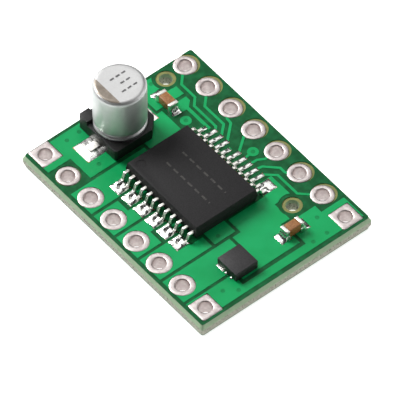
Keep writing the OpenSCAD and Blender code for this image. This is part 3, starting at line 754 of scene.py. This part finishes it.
def can_shell():
    bm = bmesh.new()
    outside = can_profile()
    inner = can_r - can_wall
    roof = can_hi.z - can_wall
    inside = [(0.03 * MM, roof), (inner - 0.2 * MM, roof), (inner, roof - 0.2 * MM),
              (inner, can_lo.z + 1.4 * MM), (inner - 0.1 * MM, can_lo.z + 1.38 * MM),
              (inner - 0.1 * MM, can_lo.z + 0.15 * MM), (inner - 0.15 * MM, can_lo.z + 0.14 * MM),
              (inner - 0.15 * MM, can_lo.z)]
    loft(bm, [circle(can_mid, r, z, 128) for r, z in inside + outside])
    return piece("can_drawn_shell", bm, "can", "can_metal", "can_shell", sharp=40)


def can_surface(radius):
    """Height of the can's top at a distance from its axis."""
    flat = can_r - shoulder_r
    if radius <= flat:
        return can_hi.z
    over = min(radius - flat, shoulder_r * 0.999)
    return can_hi.z - shoulder_r + math.sqrt(shoulder_r**2 - over**2)


def film(bm, rows, thickness=0.006 * MM):
    """A thin skin of ink on the can's top. Rows hold (x, y) from the can's axis."""
    lift = 0.002 * MM
    layers = []
    for rise in (lift, lift + thickness):
        layers.append([[bm.verts.new((can_mid.x + x, can_mid.y + y, can_surface(math.hypot(x, y)) + rise))
                        for x, y in row] for row in rows])
    for grid in layers:
        for a, b in zip(grid, grid[1:]):
            for i in range(len(a) - 1):
                bm.faces.new((a[i], a[i + 1], b[i + 1], b[i]))
    low, high = layers
    rim = []
    for g in (low, high):
        rim.append(g[0] + [r[-1] for r in g[1:]] + g[-1][-2::-1] + [r[0] for r in g[-2:0:-1]])
    for i in range(len(rim[0])):
        j = (i + 1) % len(rim[0])
        bm.faces.new((rim[0][i], rim[0][j], rim[1][j], rim[1][i]))


def can_mark():
    """The minus segment, and three short rows of plain dashes."""
    bm = bmesh.new()
    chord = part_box("can_mark")[1].y - can_mid.y
    reach = can_r - 0.16 * MM
    rows = []
    steps, columns = 14, 16
    for k in range(steps + 1):
        y = chord + (-reach * 0.985 - chord) * k / steps
        half = math.sqrt(max(reach**2 - y**2, 0))
        rows.append([(half * (-1 + 2 * i / columns), y) for i in range(columns + 1)])
    film(bm, rows)
    dash, gap, stroke = 0.34 * MM, 0.17 * MM, 0.13 * MM
    for x, count, start in ((-0.62, 3, -0.35), (0.05, 2, 0.05), (0.72, 3, -0.35)):
        for k in range(count):
            y = start * MM + k * (dash + gap)
            film(bm, [[(x * MM - stroke / 2, y + dash * t), (x * MM + stroke / 2, y + dash * t)]
                      for t in (0.0, 0.5, 1.0)])
    return piece("can_ink", bm, "ink", "print", "can_mark", sharp=60)


# ---------------------------------------------------------------- small parts
def ceramic(side):
    """A ceramic capacitor: a fired body with soft edges and metal that wraps each end."""
    lo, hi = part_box(f"ceramic_{side}_body")
    bm = bmesh.new()
    brick(bm, lo, hi, 0.07 * MM)
    piece(f"fired_body_{side}", bm, "ceramic", "ceramic_brown", f"ceramic_{side}_body")
    bm = bmesh.new()
    for lo, hi in islands(f"ceramic_{side}_ends"):
        brick(bm, lo, hi, 0.08 * MM, steps=4)
    piece(f"end_caps_{side}", bm, "lead", "tin_plate", f"ceramic_{side}_ends", sharp=50)


def softened(name, finish, slot, width, title):
    bm = cad_copy(name)
    soften(bm, width * MM)
    return piece(title, bm, finish, slot, name, sharp=40)


laminate()
plated_holes()
chip_leads()
solder()
chip_body()
can_shell()
can_mark()
ceramic("left")
ceramic("right")
softened("can_base", "base", "base_plastic", 0.05, "can_seat")
softened("can_terminal_minus", "lead", "tin_plate", 0.02, "can_foot_minus")
softened("can_terminal_plus", "lead", "tin_plate", 0.02, "can_foot_plus")
softened("transistor_body", "fet", "moulding", 0.025, "transistor_moulding")

repaint("solder_mask_top", "mask_top")
repaint("solder_mask_bottom", "mask_bottom")
for name in nodes:
    if name.startswith("copper_") or name in ("plated_vias", "transistor_clip"):
        repaint(name, "copper")
for name in ("transistor_drain", "transistor_lands", "chip_paddle"):
    repaint(name, "lead")
for name, finish in (("chip_glue", "glue"), ("chip_die", "silicon"), ("chip_wires", "gold"),
                     ("can_seal", "rubber"), ("can_winding", "winding"), ("transistor_die", "silicon"),
                     ("ceramic_left_plates", "plates"), ("ceramic_right_plates", "plates")):
    repaint(name, finish)


# ---------------------------------------------------------------- floor, light and camera
def floor():
    bm = bmesh.new()
    bmesh.ops.create_grid(bm, x_segments=1, y_segments=1, size=1.5)
    mesh = bpy.data.meshes.new("floor")
    bm.to_mesh(mesh)
    bm.free()
    finish = Finish("floor_white", (0.86, 0.86, 0.86, 1), 0.9)
    finish.put("Emission Color", (1, 1, 1, 1))
    finish.put("Emission Strength", 0.8)
    finish.bump(finish.noise(0.2), 0.01)
    mesh.materials.append(finish.material)
    obj = bpy.data.objects.new("floor", mesh)
    obj.location.z = -0.02 * MM
    bpy.context.scene.collection.objects.link(obj)


def area_light(name, energy, size, place, aim):
    light = bpy.data.lights.new(name, "AREA")
    light.energy, light.size = energy, size
    obj = bpy.data.objects.new(name, light)
    obj.location = place
    obj.rotation_mode = "QUATERNION"
    obj.rotation_quaternion = (Vector(aim) - Vector(place)).to_track_quat("-Z", "Y")
    bpy.context.scene.collection.objects.link(obj)


def world(low, high):
    """A soft box of light: brightest overhead and a little to the left, dimmer near the horizon."""
    sky = bpy.data.worlds.new("studio")
    sky.use_nodes = True
    tree = sky.node_tree
    coords = tree.nodes.new("ShaderNodeTexCoord")
    lean = tree.nodes.new("ShaderNodeVectorMath")
    lean.operation = "DOT_PRODUCT"
    lean.inputs[1].default_value = Vector((-0.3, -0.05, 0.95)).normalized()
    fade = tree.nodes.new("ShaderNodeMapRange")
    fade.interpolation_type = "SMOOTHSTEP"
    for socket, value in (("From Min", -0.2), ("From Max", 0.95), ("To Min", low), ("To Max", high)):
        fade.inputs[socket].default_value = value
    tree.links.new(coords.outputs["Generated"], lean.inputs[0])
    tree.links.new(lean.outputs["Value"], fade.inputs["Value"])
    tree.links.new(fade.outputs[0], tree.nodes["Background"].inputs["Strength"])
    bpy.context.scene.world = sky


def camera():
    """A long lens at the fitted viewing angle. The board's hole grid sits a little off centre."""
    azimuth, elevation, roll = (math.radians(a) for a in (51.24, 51.28, -0.675))
    frame_width, distance = 28.10 * MM, 0.8
    shift_right, shift_up = 0.34 * MM, -1.04 * MM
    back = Vector((math.sin(azimuth) * math.cos(elevation), -math.cos(azimuth) * math.cos(elevation),
                   math.sin(elevation)))
    level = Vector((math.cos(azimuth), math.sin(azimuth), 0))
    up = back.cross(level)
    right = level * math.cos(roll) + up * math.sin(roll)
    up = up * math.cos(roll) - level * math.sin(roll)
    aim = (first_hole + last_hole) / 2
    aim.z = mask_face
    aim += right * shift_right + up * shift_up
    data = bpy.data.cameras.new("camera")
    data.lens = data.sensor_width * distance / frame_width
    data.clip_start, data.clip_end = 0.01, 10
    obj = bpy.data.objects.new("camera", data)
    place = aim + back * distance
    obj.matrix_world = Matrix((
        (right.x, up.x, back.x, place.x),
        (right.y, up.y, back.y, place.y),
        (right.z, up.z, back.z, place.z),
        (0, 0, 0, 1),
    ))
    bpy.context.scene.collection.objects.link(obj)
    bpy.context.scene.camera = obj


floor()
world(0.3, 1.05)
area_light("key", 2.0, 0.2, (-0.32, -0.08, 0.3), (0, 0, 0))
area_light("top", 0.26, 0.25, (-0.14, 0.11, 0.3), (0, 0, 0))
area_light("fill", 0.5, 0.3, (0.2, 0.3, 0.2), (0, 0, 0))
camera()
view = bpy.context.scene.view_settings
view.view_transform = "Standard"
view.look = "None"
